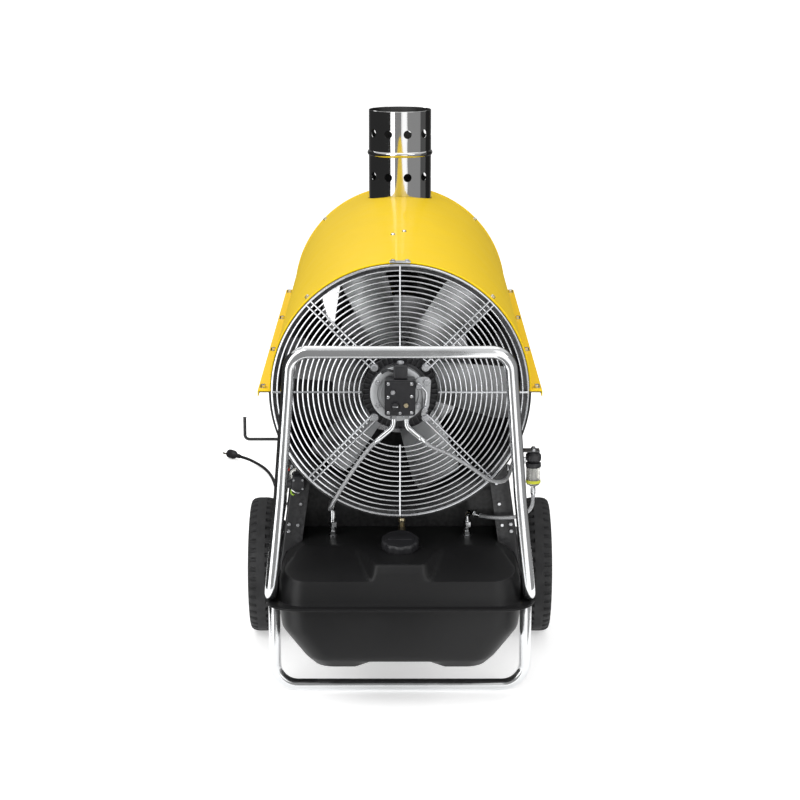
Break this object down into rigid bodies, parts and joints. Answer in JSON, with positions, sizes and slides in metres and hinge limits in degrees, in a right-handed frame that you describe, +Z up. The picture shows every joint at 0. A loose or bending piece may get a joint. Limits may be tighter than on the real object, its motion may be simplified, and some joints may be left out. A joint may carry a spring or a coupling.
{
  "type": "forced air heater",
  "caption": "Oil-fired indirect forced air heater on wheels: round casing with fan and burner motor, flue, fuel tank chassis, handle and air outlet spigot.",
  "frame": {"origin": "on the floor, under the middle of the machine's box, with the mains cord left out", "axes": "+Z up; +Y along the casing, from the air intake to the warm-air outlet; +X to the right seen from the air intake"},
  "size_m": [0.8605, 2.2094, 1.118],
  "materials": {
    "yellow_paint": "gloss",
    "black_paint": "satin",
    "tank_paint": "gloss",
    "stainless": "satin",
    "chrome": "polished",
    "zinc_wire": "bright",
    "cast_aluminium": "cast",
    "fan_metal": "satin",
    "motor_paint": "painted satin",
    "pump_body": "painted satin",
    "black_plastic": "satin",
    "tyre_rubber": "matt",
    "cord_rubber": "matt",
    "brass": "satin",
    "clear_plastic": "clear",
    "red_plastic": "gloss"
  },
  "bodies": {
    "machine": {"upper_cover": "yellow_paint", "lower_casing": "black_paint", "intake_ring": "black_paint", "front_panel": "black_paint", "outlet_spigot": "stainless", "flue_pipe": "stainless", "combustion_chamber": "stainless", "burner_tube": "stainless", "chamber_support_rear": "black_paint", "chamber_support_front": "black_paint", "fan_guard": "zinc_wire", "motor_body": "motor_paint", "motor_end_cover": "motor_paint", "pump_flange": "cast_aluminium", "fuel_pump": "pump_body", "pump_coil": "black_plastic", "regulator_arm": "cast_aluminium", "pump_elbow_left": "chrome", "pump_elbow_right": "chrome", "tank_upper_half": "tank_paint", "tank_lower_half": "tank_paint", "tank_outlet_fitting": "chrome", "tank_return_fitting": "chrome", "tank_vent": "brass", "handle_tube": "chrome", "foot_tube": "chrome", "axle": "stainless", "axle_bracket_left": "black_paint", "axle_bracket_right": "black_paint", "saddle_panel_left": "black_paint", "saddle_panel_right": "black_paint", "saddle_bulkhead_rear": "black_paint", "saddle_bulkhead_front": "black_paint", "control_plate": "black_plastic", "reset_bezel": "black_plastic", "pilot_lamp": "clear_plastic", "thermostat_socket": "black_plastic", "junction_box": "black_plastic", "cable_gland": "black_plastic", "cable_hook": "black_paint", "fuel_filter_head": "black_plastic", "fuel_filter_bowl": "clear_plastic", "filter_bracket": "black_paint", "suction_hose": "zinc_wire", "return_hose": "zinc_wire", "filter_hose": "zinc_wire", "power_cord": "cord_rubber", "mains_plug": "black_plastic"},
    "fan": {"motor_shaft": "stainless", "fan_rotor": "fan_metal"},
    "wheel_left": {"wheel_tyre_left": "tyre_rubber", "wheel_rim_left": "black_plastic", "hub_cap_left": "black_plastic"},
    "wheel_right": {"wheel_tyre_right": "tyre_rubber", "wheel_rim_right": "black_plastic", "hub_cap_right": "black_plastic"},
    "fuel_cap": {"filler_cap": "black_plastic"},
    "switch_knob": {"main_switch": "black_plastic"},
    "reset": {"reset_button": "red_plastic"}
  },
  "joints": [
    {"name": "fan_spin", "type": "hinge", "parent": "machine", "child": "fan", "pos_m": [0, -0.3704, 0.656], "axis": [0, 1, 0], "continuous": true},
    {"name": "wheel_left_spin", "type": "hinge", "parent": "machine", "child": "wheel_left", "pos_m": [-0.306, -0.0434, 0.15], "axis": [1, 0, 0], "continuous": true},
    {"name": "wheel_right_spin", "type": "hinge", "parent": "machine", "child": "wheel_right", "pos_m": [0.306, -0.0434, 0.15], "axis": [1, 0, 0], "continuous": true},
    {"name": "fuel_cap_turn", "type": "hinge", "parent": "machine", "child": "fuel_cap", "pos_m": [0, -0.5024, 0.328], "axis": [0, -0.2334, 0.9724], "range_deg": [0, 90]},
    {"name": "main_switch_turn", "type": "hinge", "parent": "machine", "child": "switch_knob", "pos_m": [-0.23451, -0.2384, 0.40042], "axis": [-0.9904, 0, 0.138], "range_deg": [0, 90]},
    {"name": "reset_button_press", "type": "slide", "parent": "machine", "child": "reset", "axis": [0.9904, 0, -0.138], "range_m": [0, 0.003], "stiffness_N_per_m": 300, "springref_m": -0.002}
  ]
}
